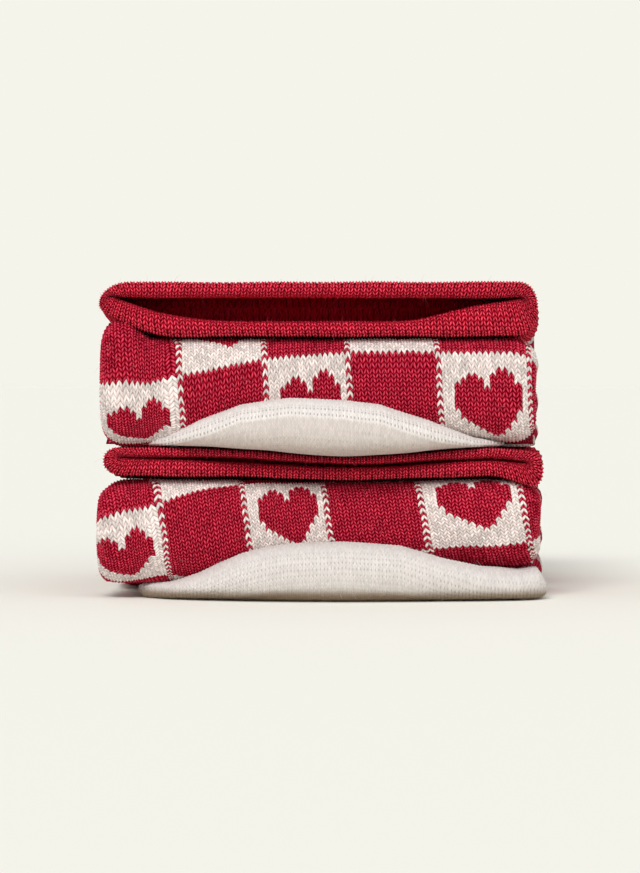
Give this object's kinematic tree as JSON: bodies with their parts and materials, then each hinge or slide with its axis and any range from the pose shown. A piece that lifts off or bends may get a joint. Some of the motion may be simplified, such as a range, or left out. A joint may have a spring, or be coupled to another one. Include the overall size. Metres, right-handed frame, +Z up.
{
  "type": "pair of folded crew socks",
  "caption": "Pair of knitted crew socks, each folded into layers and laid one on the other, with ribbed open cuffs, checked legs and plain toes.",
  "frame": {"origin": "middle of the pair's footprint, on the surface that it lies on", "axes": "+Z up, +Y to the back folds, so the open cuffs and the toes face -Y, +X to the right seen from the front"},
  "size_m": [0.0966, 0.1052, 0.0652],
  "materials": {
    "cuff_rib": "red one-by-one rib knit, matt",
    "check_knit": "red and off-white check in plain knit, matt",
    "toe_knit": "off-white plain knit, matt"
  },
  "bodies": {
    "root": {"lower_cuff": "cuff_rib", "lower_leg_and_foot": "check_knit", "lower_toe": "toe_knit", "upper_cuff": "cuff_rib", "upper_leg_and_foot": "check_knit", "upper_toe": "toe_knit"}
  },
  "joints": []
}
